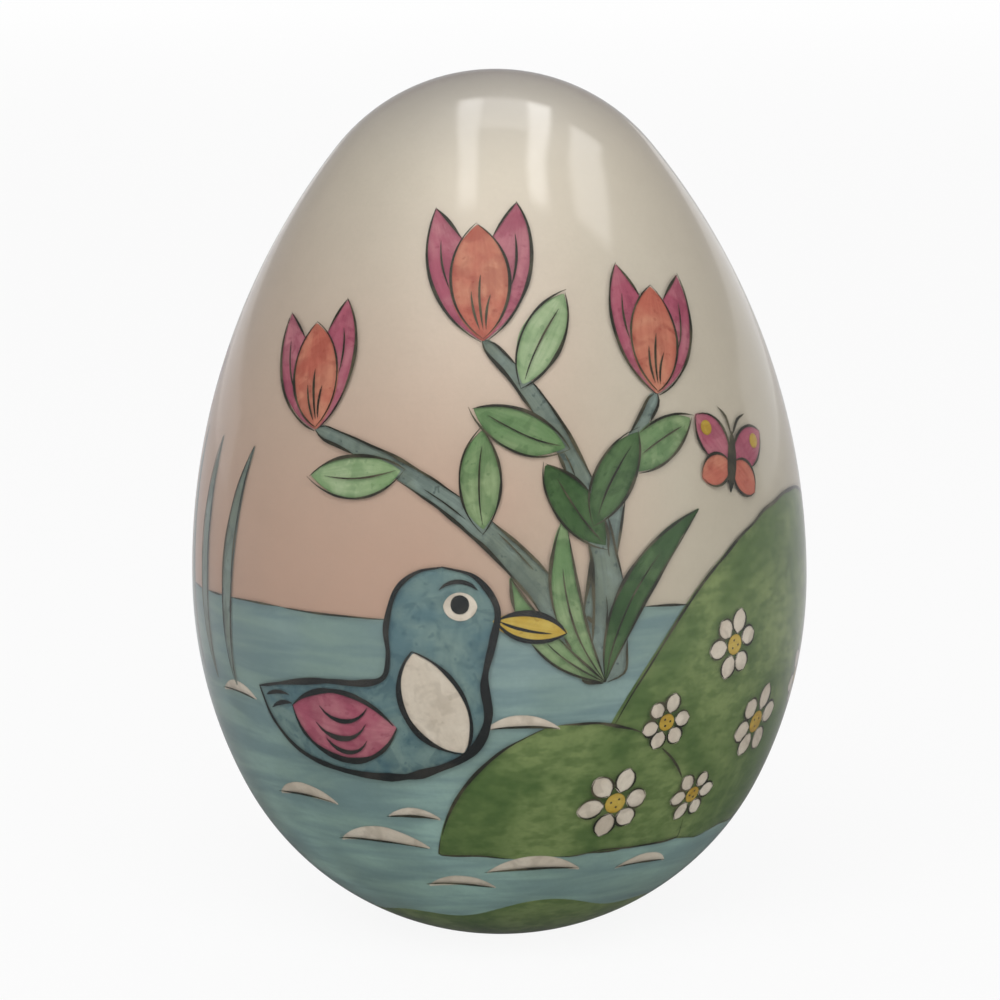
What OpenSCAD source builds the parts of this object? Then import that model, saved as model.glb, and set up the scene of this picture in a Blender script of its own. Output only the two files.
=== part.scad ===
// Hollow glass egg, painted on its inside wall.
// The glass is one blown shell with a ground foot and a small hole under it.
// A brush goes in by the hole, so what shows in front is painted first: ink, small things, then washes.
// Each coat of paint is a thin solid of its own, one behind the other from the glass inwards.
// The frame has +Z up, the front facing -Y and its origin in the middle of the foot.

/* [Egg] */
// Width of the glass at its widest ring
egg_d = 63.5; // [58:0.5:70]
// Height from the foot to the crown
egg_h = 88.5; // [82:0.5:98]
// Height of the widest ring above the foot
belly_h = 36.25; // [34:0.25:41]
// Radius of the rounded bottom, as a share of the belly's radius
base_round_share = 0.946; // [0.92:0.002:0.96]
// Radius of the rounded crown, as a share of the belly's radius
crown_round_share = 0.65; // [0.58:0.01:0.74]

/* [Glass] */
// Thickness of the blown wall
wall = 2.4; // [1.8:0.1:3.4]
// Width of the flat that is ground under the egg
foot_d = 16; // [14:0.5:20]
// Width of the hole that the brush goes in by
hole_d = 9; // [7:0.5:11]
// Break of the hole's ground edge
edge_break = 0.3; // [0.1:0.1:0.6]

/* [Paint] */
// Thickness of one coat of colour
film = 0.1; // [0.06:0.02:0.16]
// Room between two coats
film_gap = 0.02; // [0.01:0.01:0.04]
// Thickness of the pearl ground behind the picture
ground_film = 0.18; // [0.1:0.02:0.3]
// Thickness of the sealing coat behind the ground
seal_film = 0.25; // [0.1:0.05:0.4]
// Bare ring that is left round the hole
bare_rim = 0.8; // [0.4:0.1:2]
// Width of an ink line
ink_w = 0.6; // [0.4:0.05:0.9]

/* [Tulips] */
// Height of a flower head
tulip_h = 12.5; // [9:0.5:15]
// Width of a flower head
tulip_w = 10.5; // [7:0.5:13]
// Width of a stem at its middle
stem_w = 1.9; // [1.2:0.1:3]
// Length of a leaf on a stem
leaf_l = 9; // [6:0.5:12]
// Width of a leaf on a stem
leaf_w = 3.8; // [2.5:0.1:5.5]
// Length of a long leaf at the root
lance_l = 21; // [15:0.5:26]
// Width of a long leaf at the root
lance_w = 4.2; // [3:0.1:6]

/* [Duck] */
// Length of the duck from tail to breast
duck_l = 26; // [20:0.5:28]
// Width of the duck's head
duck_head_d = 10.4; // [8:0.2:12]
// Length of the bill
bill_l = 5.8; // [4:0.2:7]

/* [Small things] */
// Width of a blossom
blossom_d = 6.6; // [4.6:0.2:9]
// Width of a blossom's centre
blossom_eye_d = 1.9; // [1.2:0.1:2.6]
// Span of a butterfly's wings
butterfly_w = 12; // [8:0.5:15]
// Length of a ripple on the pond
ripple_l = 8; // [5:0.5:11]
// Width of a ripple at its middle
ripple_w = 1.2; // [0.8:0.1:1.8]
// Height of the reeds behind the pond
reed_l = 24; // [16:1:30]

/* [Land and water] */
// Height of the pond's far edge above the foot
pond_h = 38; // [34:0.5:44]
// Height of the hill's near shore above the foot
shore_h = 13; // [10:0.5:17]
// Height of the near bank's top above the foot
bank_h = 6.2; // [5:0.2:8]
// Radius of a large hill's round back
hill_r = 22.4; // [19:0.2:23]
// Radius of the small hill in front of it
knoll_r = 12; // [9:0.5:14]

/* [Hidden] */

// Facets round a full circle: one that is turned, the large disc behind a stroke, and a small dot
smooth = 120;
stroke_smooth = 360;
dot_smooth = 32;
// How far a cutting shape runs past what it cuts
overrun = 1;

belly_r = egg_d / 2;
foot_r = foot_d / 2;
hole_r = hole_d / 2;
base_r = belly_r * base_round_share;
crown_r = belly_r * crown_round_share;

// The outline is four arcs that run smoothly into one another.
// The bottom and the crown are centred on the axis, the flank and the shoulder level with the belly.
base_z = sqrt(base_r ^ 2 - foot_r ^ 2);
crown_z = egg_h - crown_r;
flank_drop = belly_h - base_z;
shoulder_rise = crown_z - belly_h;
flank_r = (belly_r ^ 2 + flank_drop ^ 2 - base_r ^ 2) / (2 * (belly_r - base_r));
shoulder_r = (belly_r ^ 2 + shoulder_rise ^ 2 - crown_r ^ 2) / (2 * (belly_r - crown_r));
flank_x = belly_r - flank_r;
shoulder_x = belly_r - shoulder_r;
flank_end = atan2(flank_drop, -flank_x);
shoulder_end = atan2(shoulder_rise, -shoulder_x);

coat_pitch = film + film_gap;
coats = 11;
ground_depth = wall + film_gap + coats * coat_pitch;
seal_depth = ground_depth + ground_film + film_gap;

// Places are a turn about the axis in degrees, left to right from the front, and a share of the egg's height.

// Turn, height and lean of each flower head, and its size as a share of the full head
tulips_shares = [
  [-40, 0.62, 16, 0.95], [-3, 0.72, 4, 1], [36, 0.655, -14, 0.95],
  [128, 0.6, -8, 0.9], [160, 0.7, 6, 1], [-160, 0.62, 14, 0.9]
];
// The flower head at the end of each leaf's stem, the leaf's place along it and the side that it leans to
leaves_shares = [
  [0, 0.5, -1], [0, 0.76, 1], [1, 0.44, -1], [1, 0.66, 1], [1, 0.86, -1],
  [2, 0.46, 1], [2, 0.72, -1], [3, 0.6, 1], [4, 0.45, -1], [4, 0.7, 1], [5, 0.6, -1]
];
// Turn and height of the two roots that the stems grow from, and how many stems the first one has
root_shares = [[20, 0.35], [150, 0.33]];
front_stems = 3;
// Root, lean and length share of each long leaf
lances_shares = [[0, 40, 0.66], [0, -34, 0.9], [0, 12, 0.8], [1, 40, 0.8], [1, -38, 0.9]];
// Turn and height of the middle of the duck's body
duck_share = [-24, 0.265];
// Turn, height and size of each blossom
blossoms_shares = [
  [50, 0.37, 1], [34, 0.295, 0.85], [62, 0.27, 1.1], [25, 0.205, 1.05], [46, 0.2, 0.8],
  [84, 0.3, 0.9], [170, 0.24, 1], [205, 0.2, 0.9]
];
blossom_petals = 6;
// Turn, height and lean of each butterfly
butterflies_shares = [[53, 0.57, -18], [-98, 0.62, 14]];
// Turn, height and size of each ripple
ripples_shares = [
  [-48, 0.2, 1], [-30, 0.155, 1.2], [-6, 0.17, 0.9], [8, 0.125, 1.1], [-12, 0.105, 0.8],
  [-62, 0.31, 0.8], [4, 0.3, 0.9], [-120, 0.25, 1], [-150, 0.18, 1.1], [44, 0.115, 1]
];
// Turn and lean of each reed, all rooted at the far edge of the pond
reeds_shares = [[-62, -5], [-71, 1], [-80, 6], [-116, -5], [-125, 1], [-134, 6]];
reed_root_share = 0.32;
reed_under_share = 0.44;
ripple_bow_share = 0.125;
// Turn and height of each hill's middle
hill_share = [74, 0.265];
knoll_share = [16, 0.17];
back_hill_share = [186, 0.255];

// Distance of the painted wall from the axis at a height
function arc_x(x, z, r, height) = x + sqrt((r - wall) ^ 2 - (height - z) ^ 2);
function wall_x(height) =
  height > belly_h + (shoulder_r - wall) * sin(shoulder_end) ? arc_x(0, crown_z, crown_r, height)
  : height > belly_h ? arc_x(shoulder_x, belly_h, shoulder_r, height)
  : height > belly_h - (flank_r - wall) * sin(flank_end) ? arc_x(flank_x, belly_h, flank_r, height)
  : arc_x(0, base_z, base_r, height);

// A place on the painted wall as it is seen square on from another turn
function spot(turn, share, facing) = [wall_x(share * egg_h) * sin(turn - facing), share * egg_h];

// A point along the arc between two points that bows sideways by a rise
function along(from, to, rise, share) =
  let (across = [from.y - to.y, to.x - from.x] / norm(to - from))
  from + (to - from) * share + 4 * share * (1 - share) * rise * across;

// OUTLINE OF THE EGG

// Slice between the belly's level and the line where two arcs meet, through both of their centres
module slice(x, z) {
  reach = 2 * egg_h;
  times = (reach - x) / abs(x);
  polygon([[x, belly_h], [reach, belly_h], [x - times * x, belly_h + times * (z - belly_h)]]);
}

// Right half of the egg's outline, drawn in from the outside by a depth
module half_egg(depth) {
  intersection() {
    translate([0, -egg_h]) square([egg_d, 3 * egg_h]);
    union() {
      translate([0, base_z]) circle(base_r - depth, $fn = smooth);
      translate([0, crown_z]) circle(crown_r - depth, $fn = smooth);
      intersection() {
        translate([flank_x, belly_h]) circle(flank_r - depth, $fn = smooth);
        slice(flank_x, base_z);
      }
      intersection() {
        translate([shoulder_x, belly_h]) circle(shoulder_r - depth, $fn = smooth);
        slice(shoulder_x, crown_z);
      }
    }
  }
}

// A lining of the whole inside, from one depth to another, with the rim of the hole left bare
module lining(near, far, low = -overrun, high = egg_h + overrun) {
  rotate_extrude($fn = smooth) intersection() {
    difference() {
      half_egg(near);
      half_egg(far);
      square([hole_r + bare_rim, belly_h]);
    }
    translate([0, low]) square([egg_d, high - low]);
  }
}

// The coat of one colour, counted from the glass inwards
module coat(index, low = -overrun, high = egg_h + overrun) {
  near = wall + film_gap + index * coat_pitch;
  lining(near, near + film, low, high);
}

// BRUSH STROKES

// Carries a flat shape out from the axis through the front of the egg, as seen from a turn
module seen_from(turn) {
  rotate([90, 0, turn]) linear_extrude(egg_d) children();
}

// The disc whose edge passes both ends of a span and stands a rise above it
module bowed_disc(span, rise) {
  r = (span ^ 2 / 4 + rise ^ 2) / (2 * rise);
  translate([span / 2, rise - r]) circle(r, $fn = stroke_smooth);
}

// A stroke with a point at each end
// Under is negative where its lower edge bows the same way as the upper one.
module stroke(from, to, over, under) {
  span = norm(to - from);
  translate(from) rotate(atan2(to.y - from.y, to.x - from.x)) {
    if (under > 0) intersection() {
      bowed_disc(span, over);
      mirror([0, 1]) bowed_disc(span, under);
    }
    else difference() {
      bowed_disc(span, over);
      bowed_disc(span, -under);
    }
  }
}

// A drawn line that bows by a rise
module line(from, to, rise, width = ink_w) {
  if (rise > 0) stroke(from, to, rise + width / 2, width / 2 - rise);
  else stroke(to, from, width / 2 - rise, width / 2 + rise);
}

// The ink along both edges of a stroke, open at its two points
module stroke_edges(from, to, over, under) {
  far = norm(to - from) - ink_w;
  half = ink_w / 2;
  translate(from) rotate(atan2(to.y - from.y, to.x - from.x)) {
    line([ink_w, half], [far, half], over - half);
    line([ink_w, -half], [far, -half], half - under);
  }
}

// TULIPS

petal_tip_share = 0.36;
petal_tip_height_share = 0.97;
petal_out_share = 0.25;
petal_in_share = 0.16;
heart_height_share = 0.84;
heart_half_share = 0.27;
stem_bow_share = 0.12;

// Draws on each flower head, from the middle of its base upwards
module each_tulip() {
  for (tulip = tulips_shares) {
    seen_from(tulip[0]) translate([0, tulip[1] * egg_h]) rotate(tulip[2]) scale(tulip[3]) children();
  }
}

module petal_tips(side) {
  tip = [side * petal_tip_share * tulip_w, petal_tip_height_share * tulip_h];
  if (side > 0) stroke([0, 0], tip, petal_in_share * tulip_w, petal_out_share * tulip_w);
  else stroke([0, 0], tip, petal_out_share * tulip_w, petal_in_share * tulip_w);
}

module petal_line(side) {
  tip = [side * petal_tip_share * tulip_w, petal_tip_height_share * tulip_h];
  line([side * ink_w, ink_w], tip, -side * petal_out_share * tulip_w);
}

module tulip_heart() {
  half = heart_half_share * tulip_w;
  stroke([0, 0], [0, heart_height_share * tulip_h], half, half);
}

module tulip_heart_lines() {
  half = heart_half_share * tulip_w;
  stroke_edges([0, 0], [0, heart_height_share * tulip_h], half, half);
}

// Ends of each stem, as seen square on from halfway between them
function stem_root(index) = root_shares[index < front_stems ? 0 : 1];
function stem_facing(index) =
  let (root = stem_root(index)[0], head = tulips_shares[index][0])
  (root + head + (root - head > 180 ? 360 : 0)) / 2;
function stem_low(index) = spot(stem_root(index)[0], stem_root(index)[1], stem_facing(index));
function stem_high(index) = spot(tulips_shares[index][0], tulips_shares[index][1], stem_facing(index));
function stem_rise(index) =
  stem_bow_share * norm(stem_high(index) - stem_low(index)) * (tulips_shares[index][2] > 0 ? -1 : 1);

module each_stem() {
  for (index = [0 : len(tulips_shares) - 1]) {
    seen_from(stem_facing(index)) line(stem_low(index), stem_high(index), stem_rise(index), stem_w);
  }
}

leaf_lean = 48;
leaf_over_share = 0.56;
leaf_under_share = 0.44;
lance_under_share = 0.22;

// Draws on each leaf, from its stem to its tip along +X
module each_leaf() {
  for (leaf = leaves_shares) {
    low = stem_low(leaf[0]);
    high = stem_high(leaf[0]);
    heading = atan2(high.y - low.y, high.x - low.x);
    seen_from(stem_facing(leaf[0])) translate(along(low, high, stem_rise(leaf[0]), leaf[1]))
      rotate(heading + leaf[2] * leaf_lean) children();
  }
}

// Draws on each long leaf, from its root to its tip along +X
module each_lance() {
  for (lance = lances_shares) {
    root = root_shares[lance[0]];
    seen_from(root[0]) translate(spot(root[0], root[1], root[0]))
      rotate(90 + lance[1]) scale(lance[2]) children();
  }
}

// DUCK

// The body's outline follows these points, in shares of the duck's length from the middle of the body
tail_share = [-0.54, 0.22];
breast_share = [0.4, 0.12];
neck_from_share = [0.16, 0];
neck_to_share = [0.27, 0.66];
head_share = [0.25, 0.54];
nape_share = [0.04, 0.25];
keel_from_share = [-0.52, 0.175];
keel_to_share = [0.24, 0];
breast_low_share = [0.36, 0.06];
throat_share = [0.36, 0.42];
belly_bow_share = 0.25;
back_bow_share = 0.1;
keel_bow_share = 0.174;
throat_bow_share = 0.03;
wing_from_share = [-0.38, 0.16];
wing_to_share = [0.06, 0.12];
wing_over_share = 0.1;
wing_under_share = 0.17;
bib_from_share = [0.15, 0.41];
bib_to_share = [0.3, 0.03];
bib_over_share = 0.1;
bib_under_share = 0.13;
bill_deep_share = 0.24;
neck_bow_share = 0.17;
eye_share = [0.33, 0.33];
eye_d_share = 0.14;

duck_head_r = duck_head_d / 2;
bill_root = duck_l * head_share + [duck_head_r - film, 0];

module on_duck() {
  seen_from(duck_share.x) translate([0, duck_share.y * egg_h]) children();
}

module duck_body() {
  stroke(duck_l * tail_share, duck_l * breast_share, duck_l * back_bow_share, duck_l * belly_bow_share);
  stroke(duck_l * neck_from_share, duck_l * neck_to_share, duck_l * neck_bow_share, duck_l * neck_bow_share);
  translate(duck_l * head_share) circle(duck_head_r, $fn = smooth);
}

module duck_wing() {
  over = duck_l * wing_over_share;
  stroke(duck_l * wing_from_share, duck_l * wing_to_share, over, duck_l * wing_under_share);
}

module duck_bib() {
  stroke(duck_l * bib_from_share, duck_l * bib_to_share, duck_l * bib_over_share, duck_l * bib_under_share);
}

module duck_bill() {
  half = bill_l * bill_deep_share;
  stroke(bill_root, bill_root + [bill_l, -half], half, half);
}

module duck_lines() {
  half = bill_l * bill_deep_share;
  line(duck_l * tail_share, duck_l * nape_share, duck_l * back_bow_share / 2);
  line(duck_l * keel_from_share, duck_l * keel_to_share, -duck_l * keel_bow_share);
  line(duck_l * breast_low_share, duck_l * throat_share, -duck_l * throat_bow_share);
  line(duck_l * wing_from_share, duck_l * wing_to_share, -duck_l * wing_under_share);
  line(duck_l * bib_from_share, duck_l * bib_to_share, -duck_l * bib_under_share);
  stroke_edges(bill_root, bill_root + [bill_l, -half], half, half);
  translate(duck_l * head_share) {
    line([-duck_head_r, 0], [duck_head_r, 0], duck_head_r);
    translate(duck_head_r * eye_share) circle(duck_head_d * eye_d_share / 2, $fn = dot_smooth);
  }
}

// BLOSSOMS AND BUTTERFLIES

petal_half_share = 0.13;
wing_lean = 38;
hind_wing_lean = -32;
fore_wing_half_share = 0.15;
hind_wing_half_share = 0.13;
hind_wing_share = 0.36;
wing_spot_share = 0.06;
insect_length_share = 0.5;

module each_blossom() {
  for (blossom = blossoms_shares) {
    seen_from(blossom[0]) translate([0, blossom[1] * egg_h]) scale(blossom[2]) children();
  }
}

// Petals in a ring, each clear of the next
module blossom_ring() {
  inner = (blossom_eye_d + ink_w) / 2;
  half = blossom_d * petal_half_share;
  for (index = [0 : blossom_petals - 1]) {
    rotate(index * 360 / blossom_petals) stroke([inner, 0], [blossom_d / 2, 0], half, half);
  }
}

module each_butterfly() {
  for (insect = butterflies_shares) {
    seen_from(insect[0]) translate([0, insect[1] * egg_h]) rotate(insect[2]) children();
  }
}

// Draws on the right and the left wings alike, from the body outwards along +X
module both_wings(lean) {
  for (side = [0, 1]) {
    mirror([side, 0]) translate([ink_w / 2, 0]) rotate(lean) children();
  }
}

module fore_wing() {
  half = fore_wing_half_share * butterfly_w;
  stroke([0, 0], [butterfly_w / 2, 0], half, half);
}

module hind_wing() {
  half = hind_wing_half_share * butterfly_w;
  stroke([0, 0], [butterfly_w * hind_wing_share, 0], half, half);
}

module insect_body() {
  half = butterfly_w * insect_length_share / 2;
  stroke([0, -half], [0, half], ink_w, ink_w);
}

// THE NODES, FROM THE GLASS INWARDS

module glass_shell() {
  color("lightcyan") rotate_extrude($fn = smooth) difference() {
    half_egg(0);
    half_egg(wall);
    translate([0, -egg_h]) square([egg_d, egg_h]);
    translate([0, -overrun]) square([hole_r, belly_h]);
    polygon([[0, 0], [hole_r + edge_break, 0], [hole_r, edge_break], [0, edge_break]]);
  }
}

module flower_ink() {
  color("black") intersection() {
    coat(0);
    union() {
      each_tulip() {
        petal_line(1);
        petal_line(-1);
        tulip_heart_lines();
      }
      each_leaf() stroke_edges([0, 0], [leaf_l, 0], leaf_over_share * leaf_w, leaf_under_share * leaf_w);
      each_butterfly() insect_body();
    }
  }
}

module duck_ink() {
  color("black") intersection() {
    coat(0);
    on_duck() duck_lines();
  }
}

module yellow_details() {
  color("gold") intersection() {
    coat(1);
    union() {
      each_blossom() circle(blossom_eye_d / 2, $fn = dot_smooth);
      on_duck() duck_bill();
      each_butterfly() both_wings(wing_lean) translate([butterfly_w * hind_wing_share, 0])
        circle(butterfly_w * wing_spot_share, $fn = dot_smooth);
    }
  }
}

module cream_blossoms() {
  color("ivory") intersection() {
    coat(2);
    each_blossom() blossom_ring();
  }
}

module cream_breast() {
  color("linen") intersection() {
    coat(2);
    on_duck() duck_bib();
  }
}

module coral_petals() {
  color("lightcoral") intersection() {
    coat(3);
    union() {
      each_tulip() tulip_heart();
      each_butterfly() both_wings(hind_wing_lean) hind_wing();
    }
  }
}

module magenta_petals() {
  color("mediumvioletred") intersection() {
    coat(4);
    union() {
      each_tulip() {
        petal_tips(1);
        petal_tips(-1);
      }
      each_butterfly() both_wings(wing_lean) fore_wing();
      on_duck() duck_wing();
    }
  }
}

module duck_plumage() {
  color("steelblue") intersection() {
    coat(5);
    on_duck() duck_body();
  }
}

module green_leaves() {
  color("seagreen") intersection() {
    coat(6);
    union() {
      each_leaf() stroke([0, 0], [leaf_l, 0], leaf_over_share * leaf_w, leaf_under_share * leaf_w);
      each_lance() stroke([0, 0], [lance_l, 0], lance_w, -lance_w * lance_under_share);
    }
  }
}

module teal_stems() {
  color("slategray") intersection() {
    coat(7);
    each_stem();
  }
}

module back_reeds() {
  color("darkslategray") intersection() {
    coat(7);
    for (reed = reeds_shares) {
      seen_from(reed[0]) translate([0, reed_root_share * egg_h]) rotate(90 + reed[1])
        stroke([0, 0], [reed_l, 0], stem_w, -stem_w * reed_under_share);
    }
  }
}

module cream_ripples() {
  color("floralwhite") intersection() {
    coat(8);
    for (ripple = ripples_shares) {
      seen_from(ripple[0]) translate([0, ripple[1] * egg_h]) scale(ripple[2])
        line([-ripple_l / 2, 0], [ripple_l / 2, 0], ripple_l * ripple_bow_share, ripple_w);
    }
  }
}

module green_hills() {
  color("olivedrab") intersection() {
    coat(9, low = shore_h);
    union() {
      seen_from(hill_share.x) translate([0, hill_share.y * egg_h]) circle(hill_r, $fn = smooth);
      seen_from(knoll_share.x) translate([0, knoll_share.y * egg_h]) circle(knoll_r, $fn = smooth);
      seen_from(back_hill_share.x) translate([0, back_hill_share.y * egg_h]) circle(hill_r, $fn = smooth);
    }
  }
}

module near_bank() {
  color("darkolivegreen") coat(9, high = bank_h);
}

module teal_pond() {
  color("cadetblue") coat(10, high = pond_h);
}

module pearl_ground() {
  color("antiquewhite") lining(ground_depth, ground_depth + ground_film);
}

module seal_coat() {
  color("whitesmoke") lining(seal_depth, seal_depth + seal_film);
}

glass_shell();
flower_ink();
duck_ink();
yellow_details();
cream_blossoms();
cream_breast();
coral_petals();
magenta_petals();
duck_plumage();
green_leaves();
teal_stems();
back_reeds();
cream_ripples();
green_hills();
near_bank();
teal_pond();
pearl_ground();
seal_coat();
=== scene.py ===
import math

import bmesh
import bpy
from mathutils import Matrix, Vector, noise


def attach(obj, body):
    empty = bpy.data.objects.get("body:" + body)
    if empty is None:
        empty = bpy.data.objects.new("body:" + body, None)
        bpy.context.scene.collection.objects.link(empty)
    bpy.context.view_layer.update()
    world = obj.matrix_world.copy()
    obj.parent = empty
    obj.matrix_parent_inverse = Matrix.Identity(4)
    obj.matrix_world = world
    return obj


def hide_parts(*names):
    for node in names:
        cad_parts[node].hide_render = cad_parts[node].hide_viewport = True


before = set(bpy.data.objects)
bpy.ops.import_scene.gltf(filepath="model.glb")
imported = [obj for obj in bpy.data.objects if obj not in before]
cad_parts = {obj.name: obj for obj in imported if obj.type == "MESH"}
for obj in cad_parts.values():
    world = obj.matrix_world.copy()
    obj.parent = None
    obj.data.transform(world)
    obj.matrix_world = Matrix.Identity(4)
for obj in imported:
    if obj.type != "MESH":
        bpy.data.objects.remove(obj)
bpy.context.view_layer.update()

# VIEW
# The egg is seen from close by and a little from above, and leans slightly to the left. The lens and its
# small shift give it the size and place that it has in the photograph's frame.
eye_distance = 0.45
eye_raised = math.radians(10)
lean = math.radians(0.78)
egg_middle = Vector((0, 0, 0.04375))
eye = egg_middle + eye_distance * Vector((0, -math.cos(eye_raised), math.sin(eye_raised)))
camera = bpy.data.objects.new("view", bpy.data.cameras.new("view"))
camera.data.sensor_width = 36
camera.data.lens = 156.8
camera.data.shift_x = 0.0015
camera.data.shift_y = 0.0033
camera.data.clip_start = 0.02
camera.location = eye
camera.rotation_euler = (egg_middle - eye).to_track_quat("-Z", "Y").to_euler()
camera.rotation_euler.rotate_axis("Z", -lean)
bpy.context.collection.objects.link(camera)
bpy.context.scene.camera = camera

# GLASS BLANK
# A hollow egg of clear blown glass, ground flat under the foot on a wheel, with a hole drilled for the brush.
# Its outline is four arcs that meet smoothly: bottom, flank, shoulder and crown, in millimetres. Paint wets
# the inner wall, so the wall is drawn just behind the front of the ground coat.
mm = 0.001
belly = 31.75
belly_z = 36.25
egg_top = 88.5
foot = 8.0
hole = 4.5
edge_break = 0.3
bare_rim = 0.8
wall = 2.4
wetted_depth = 2.80
bottom = 0.946 * belly
bottom_z = math.sqrt(bottom**2 - foot**2)
crown = 0.65 * belly
crown_z = egg_top - crown
flank_drop = belly_z - bottom_z
flank = (belly**2 + flank_drop**2 - bottom**2) / (2 * (belly - bottom))
flank_angle = math.atan2(flank_drop, flank - belly)
shoulder_rise = crown_z - belly_z
shoulder = (belly**2 + shoulder_rise**2 - crown**2) / (2 * (belly - crown))
shoulder_angle = math.atan2(shoulder_rise, shoulder - belly)


def skin(bm, depth, start, step):
    """Draws the egg's half outline at a depth under its surface, and returns its low end, off the axis."""
    low = math.acos(start / (bottom - depth))
    first = last = bm.verts.new((start, 0, bottom_z - (bottom - depth) * math.sin(low)))
    arcs = (
        (0, bottom_z, bottom, low - flank_angle),
        (belly - flank, belly_z, flank, flank_angle),
        (belly - shoulder, belly_z, shoulder, shoulder_angle),
        (0, crown_z, crown, math.pi / 2 - shoulder_angle),
    )
    for x, z, radius, angle in arcs:
        steps = math.ceil(radius * angle / step)
        turned = bmesh.ops.spin(bm, geom=[last], cent=(x, 0, z), axis=(0, -1, 0), angle=angle, steps=steps)
        last = next(part for part in turned["geom_last"] if isinstance(part, bmesh.types.BMVert))
    return first


def lathe(bm, steps):
    """Turns the outline in a bmesh into a closed shell round the egg's axis."""
    outline = list(bm.verts) + list(bm.edges)
    bmesh.ops.spin(bm, geom=outline, axis=(0, 0, 1), angle=math.tau, steps=steps, use_merge=True)
    bmesh.ops.remove_doubles(bm, verts=bm.verts, dist=1e-4)
    bmesh.ops.recalc_face_normals(bm, faces=bm.faces)


def settle(name, bm, finish, slot, *nodes):
    """Makes a mesh that was built in millimetres into a finished piece that stands for some CAD nodes."""
    for face in bm.faces:
        face.smooth = True
    for edge in bm.edges:
        edge.smooth = not edge.is_manifold or edge.calc_face_angle() < math.radians(32)
    bmesh.ops.scale(bm, vec=(mm, mm, mm), verts=bm.verts)
    mesh = bpy.data.meshes.new(name)
    bm.to_mesh(mesh)
    bm.free()
    for material in finish if isinstance(finish, list) else [finish]:
        mesh.materials.append(material)
    piece = bpy.data.objects.new(name, mesh)
    bpy.context.collection.objects.link(piece)
    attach(piece, "root")
    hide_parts(*nodes)


class Value:
    """A number or colour on its way through a material; sums on it add Math nodes."""

    def __init__(self, mix, socket):
        self.mix = mix
        self.socket = socket

    def math(self, operation, *values):
        return self.mix.add("ShaderNodeMath", {"operation": operation}, dict(enumerate(values)))

    def __add__(self, other):
        return self.math("ADD", self, other)

    def __sub__(self, other):
        return self.math("SUBTRACT", self, other)

    def __rsub__(self, other):
        return self.math("SUBTRACT", other, self)

    def __mul__(self, other):
        return self.math("MULTIPLY", self, other)

    def either(self, other):
        return self.math("MAXIMUM", self, other)

    __radd__ = __add__
    __rmul__ = __mul__


class Finish:
    """A material under construction, or the world that stands for the room."""

    def __init__(self, name, world=None):
        self.held = world or bpy.data.materials.new(name)
        self.held.use_nodes = True
        self.tree = self.held.node_tree
        self.tree.nodes.clear()
        self.out = self.tree.nodes.new("ShaderNodeOutputWorld" if world else "ShaderNodeOutputMaterial")

    def add(self, kind, settings, inputs, output=0):
        """Adds a node: its settings first, then its sockets, filled or linked. Returns one of its outputs."""
        node = self.tree.nodes.new(kind)
        for name, value in settings.items():
            if name == "stops":
                ramp = node.color_ramp
                while len(ramp.elements) < len(value):
                    ramp.elements.new(0.5)
                for element, (place, colour) in zip(ramp.elements, value):
                    element.position = place
                    element.color = (*colour, 1)
            else:
                setattr(node, name, value)
        for name, value in inputs.items():
            if isinstance(value, Value):
                self.tree.links.new(value.socket, node.inputs[name])
            else:
                node.inputs[name].default_value = value
        return Value(self, node.outputs[output])

    def where(self, kind="Object"):
        """Where a point of the surface lies: in metres, or on the stroke's own UV map."""
        return self.add("ShaderNodeTexCoord", {}, {}, kind)

    def part(self, where, axis):
        return self.add("ShaderNodeSeparateXYZ", {}, {"Vector": where}, axis)

    def rays(self, *kinds):
        """For each kind of ray, 1 where such a ray looks at the surface and 0 elsewhere."""
        path = self.tree.nodes.new("ShaderNodeLightPath")
        return [Value(self, path.outputs[f"Is {kind} Ray"]) for kind in kinds]

    def noise(self, where, scale, detail=2.0, roughness=0.5, distortion=0.0):
        sizes = {
            "Vector": where,
            "Scale": scale,
            "Detail": detail,
            "Roughness": roughness,
            "Distortion": distortion,
        }
        return self.add("ShaderNodeTexNoise", {}, sizes, "Fac")

    def spread(self, value, low, high):
        """Stretches the part of a value between two limits to the whole range from 0 to 1."""
        limits = {"Value": value, "From Min": low, "From Max": high}
        return self.add("ShaderNodeMapRange", {"interpolation_type": "SMOOTHSTEP"}, limits, "Result")

    def blend(self, share, first, second):
        """Mixes two colours by a share."""
        return self.add("ShaderNodeMix", {"data_type": "RGBA"}, {0: share, 6: first, 7: second}, 2)

    def scaled(self, where, sizes, turn=(0, 0, 0)):
        return self.add("ShaderNodeMapping", {}, {"Vector": where, "Scale": sizes, "Rotation": turn})

    def bump(self, height, strength, distance):
        return self.add("ShaderNodeBump", {}, {"Height": height, "Strength": strength, "Distance": distance})

    def done(self, surface):
        self.tree.links.new(surface.socket, self.out.inputs["Surface"])
        return self.held

    def coat(self, sockets):
        """Finishes a material of one Principled surface."""
        return self.done(self.add("ShaderNodeBsdfPrincipled", {}, sockets))

    def paint(self, body, height, gloss):
        """Finishes a dry coat of paint: a colour, a fine relief and a roughness that varies with it."""
        sockets = {
            "Base Color": body,
            "Roughness": gloss * 0.15 + 0.5,
            "Specular IOR Level": 0.0,
            "Normal": self.bump(height, 0.15, 0.0001),
        }
        return self.coat(sockets)


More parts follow.
